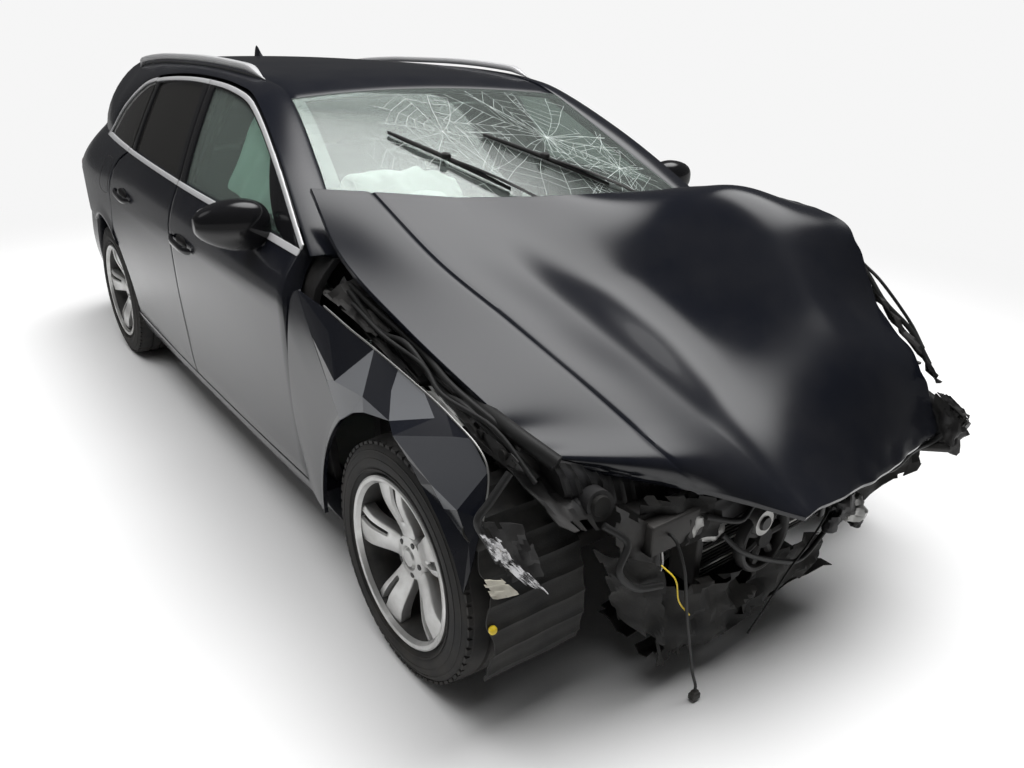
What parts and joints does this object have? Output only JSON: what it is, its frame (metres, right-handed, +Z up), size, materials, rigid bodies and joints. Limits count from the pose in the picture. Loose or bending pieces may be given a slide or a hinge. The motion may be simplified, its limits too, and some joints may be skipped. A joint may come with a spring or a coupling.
{
  "type": "crashed estate car",
  "caption": "Five-door estate car after a front-end crash: folded bonnet, bare nose, crumpled wing, burst airbags, opening doors and tailgate, turning and steering wheels.",
  "frame": {"origin": "on the ground under the middle of the car's box", "axes": "+X to the car's left, -Y forward, +Z up"},
  "size_m": [2.0828, 4.5466, 1.4836],
  "materials": {
    "body_paint": "gloss, dusty",
    "clear_glass": "tinted, cracked",
    "privacy_glass": "dark",
    "lamp_lens": "gloss",
    "bright_trim": "satin",
    "black_plastic": "matte",
    "chassis_metal": "dirty",
    "wheel_alloy": "painted, dirty",
    "tyre_rubber": "matte",
    "seat_cloth": "woven",
    "airbag_cloth": "woven",
    "wire_sheath": "taped"
  },
  "bodies": {
    "shell": {"airbag_curtain": "airbag_cloth", "airbag_passenger": "airbag_cloth", "arch_liner_right": "black_plastic", "bonnet": "body_paint", "dashboard": "black_plastic", "engine": "chassis_metal", "exhaust": "chassis_metal", "floor_pan": "chassis_metal", "front_frame": "chassis_metal", "glass_quarter_left": "privacy_glass", "glass_quarter_right": "privacy_glass", "headlamp_right": "bright_trim", "radiator": "black_plastic", "rear_axle": "chassis_metal", "rear_bench": "seat_cloth", "rear_bumper": "body_paint", "roof_panel": "body_paint", "roof_rail_left": "bright_trim", "roof_rail_right": "bright_trim", "seat_left": "seat_cloth", "seat_right": "seat_cloth", "side_frame_left": "body_paint", "side_frame_right": "body_paint", "steering_wheel": "black_plastic", "tail_lamp_left": "lamp_lens", "tail_lamp_right": "lamp_lens", "undertray": "black_plastic", "windscreen": "clear_glass", "wing_left": "body_paint", "wing_right": "body_paint", "wiper_left": "black_plastic", "wiper_right": "black_plastic", "wire_main": "wire_sheath", "wire_plug": "black_plastic", "wire_short": "wire_sheath"},
    "tailgate": {"tailgate": "body_paint", "glass_rear": "privacy_glass"},
    "door_front_right": {"door_front_right": "body_paint", "glass_front_right": "clear_glass"},
    "wheel_front_right": {"tyre_front_right": "tyre_rubber", "rim_front_right": "wheel_alloy"},
    "door_rear_right": {"door_rear_right": "body_paint", "glass_rear_right": "privacy_glass"},
    "wheel_rear_right": {"tyre_rear_right": "tyre_rubber", "rim_rear_right": "wheel_alloy"},
    "knuckle_right": {"knuckle_right": "chassis_metal"},
    "door_front_left": {"door_front_left": "body_paint", "glass_front_left": "clear_glass"},
    "wheel_front_left": {"tyre_front_left": "tyre_rubber", "rim_front_left": "wheel_alloy"},
    "door_rear_left": {"door_rear_left": "body_paint", "glass_rear_left": "privacy_glass"},
    "wheel_rear_left": {"tyre_rear_left": "tyre_rubber", "rim_rear_left": "wheel_alloy"},
    "knuckle_left": {"knuckle_left": "chassis_metal"}
  },
  "joints": [
    {"name": "door_front_right_hinge", "type": "hinge", "parent": "shell", "child": "door_front_right", "pos_m": [-0.922, -1.0013, 0.6], "axis": [0, 0, 1], "range_deg": [0, 65]},
    {"name": "door_rear_right_hinge", "type": "hinge", "parent": "shell", "child": "door_rear_right", "pos_m": [-0.93, 0.0397, 0.6], "axis": [0, 0, 1], "range_deg": [0, 65]},
    {"name": "door_front_left_hinge", "type": "hinge", "parent": "shell", "child": "door_front_left", "pos_m": [0.922, -1.0013, 0.6], "axis": [0, 0, -1], "range_deg": [0, 65]},
    {"name": "door_rear_left_hinge", "type": "hinge", "parent": "shell", "child": "door_rear_left", "pos_m": [0.93, 0.0397, 0.6], "axis": [0, 0, -1], "range_deg": [0, 65]},
    {"name": "tailgate_hinge", "type": "hinge", "parent": "shell", "child": "tailgate", "pos_m": [0, 1.9067, 1.386], "axis": [1, 0, 0], "range_deg": [0, 85]},
    {"name": "steer_right", "type": "hinge", "parent": "shell", "child": "knuckle_right", "pos_m": [-0.786, -1.5733, 0.326], "axis": [0, 0, 1], "range_deg": [0, 32]},
    {"name": "wheel_front_right_spin", "type": "hinge", "parent": "knuckle_right", "child": "wheel_front_right", "pos_m": [-0.786, -1.5733, 0.326], "axis": [1, 0, 0], "continuous": true},
    {"name": "wheel_rear_right_spin", "type": "hinge", "parent": "shell", "child": "wheel_rear_right", "pos_m": [-0.778, 1.2467, 0.326], "axis": [1, 0, 0], "continuous": true},
    {"name": "steer_left", "type": "hinge", "parent": "shell", "child": "knuckle_left", "pos_m": [0.786, -1.5733, 0.326], "axis": [0, 0, 1], "range_deg": [0, 32]},
    {"name": "wheel_front_left_spin", "type": "hinge", "parent": "knuckle_left", "child": "wheel_front_left", "pos_m": [0.786, -1.5733, 0.326], "axis": [1, 0, 0], "continuous": true},
    {"name": "wheel_rear_left_spin", "type": "hinge", "parent": "shell", "child": "wheel_rear_left", "pos_m": [0.778, 1.2467, 0.326], "axis": [1, 0, 0], "continuous": true}
  ],
  "couplings": [
    {"joint": "steer_left", "follows": "steer_right", "ratio": 1}
  ]
}
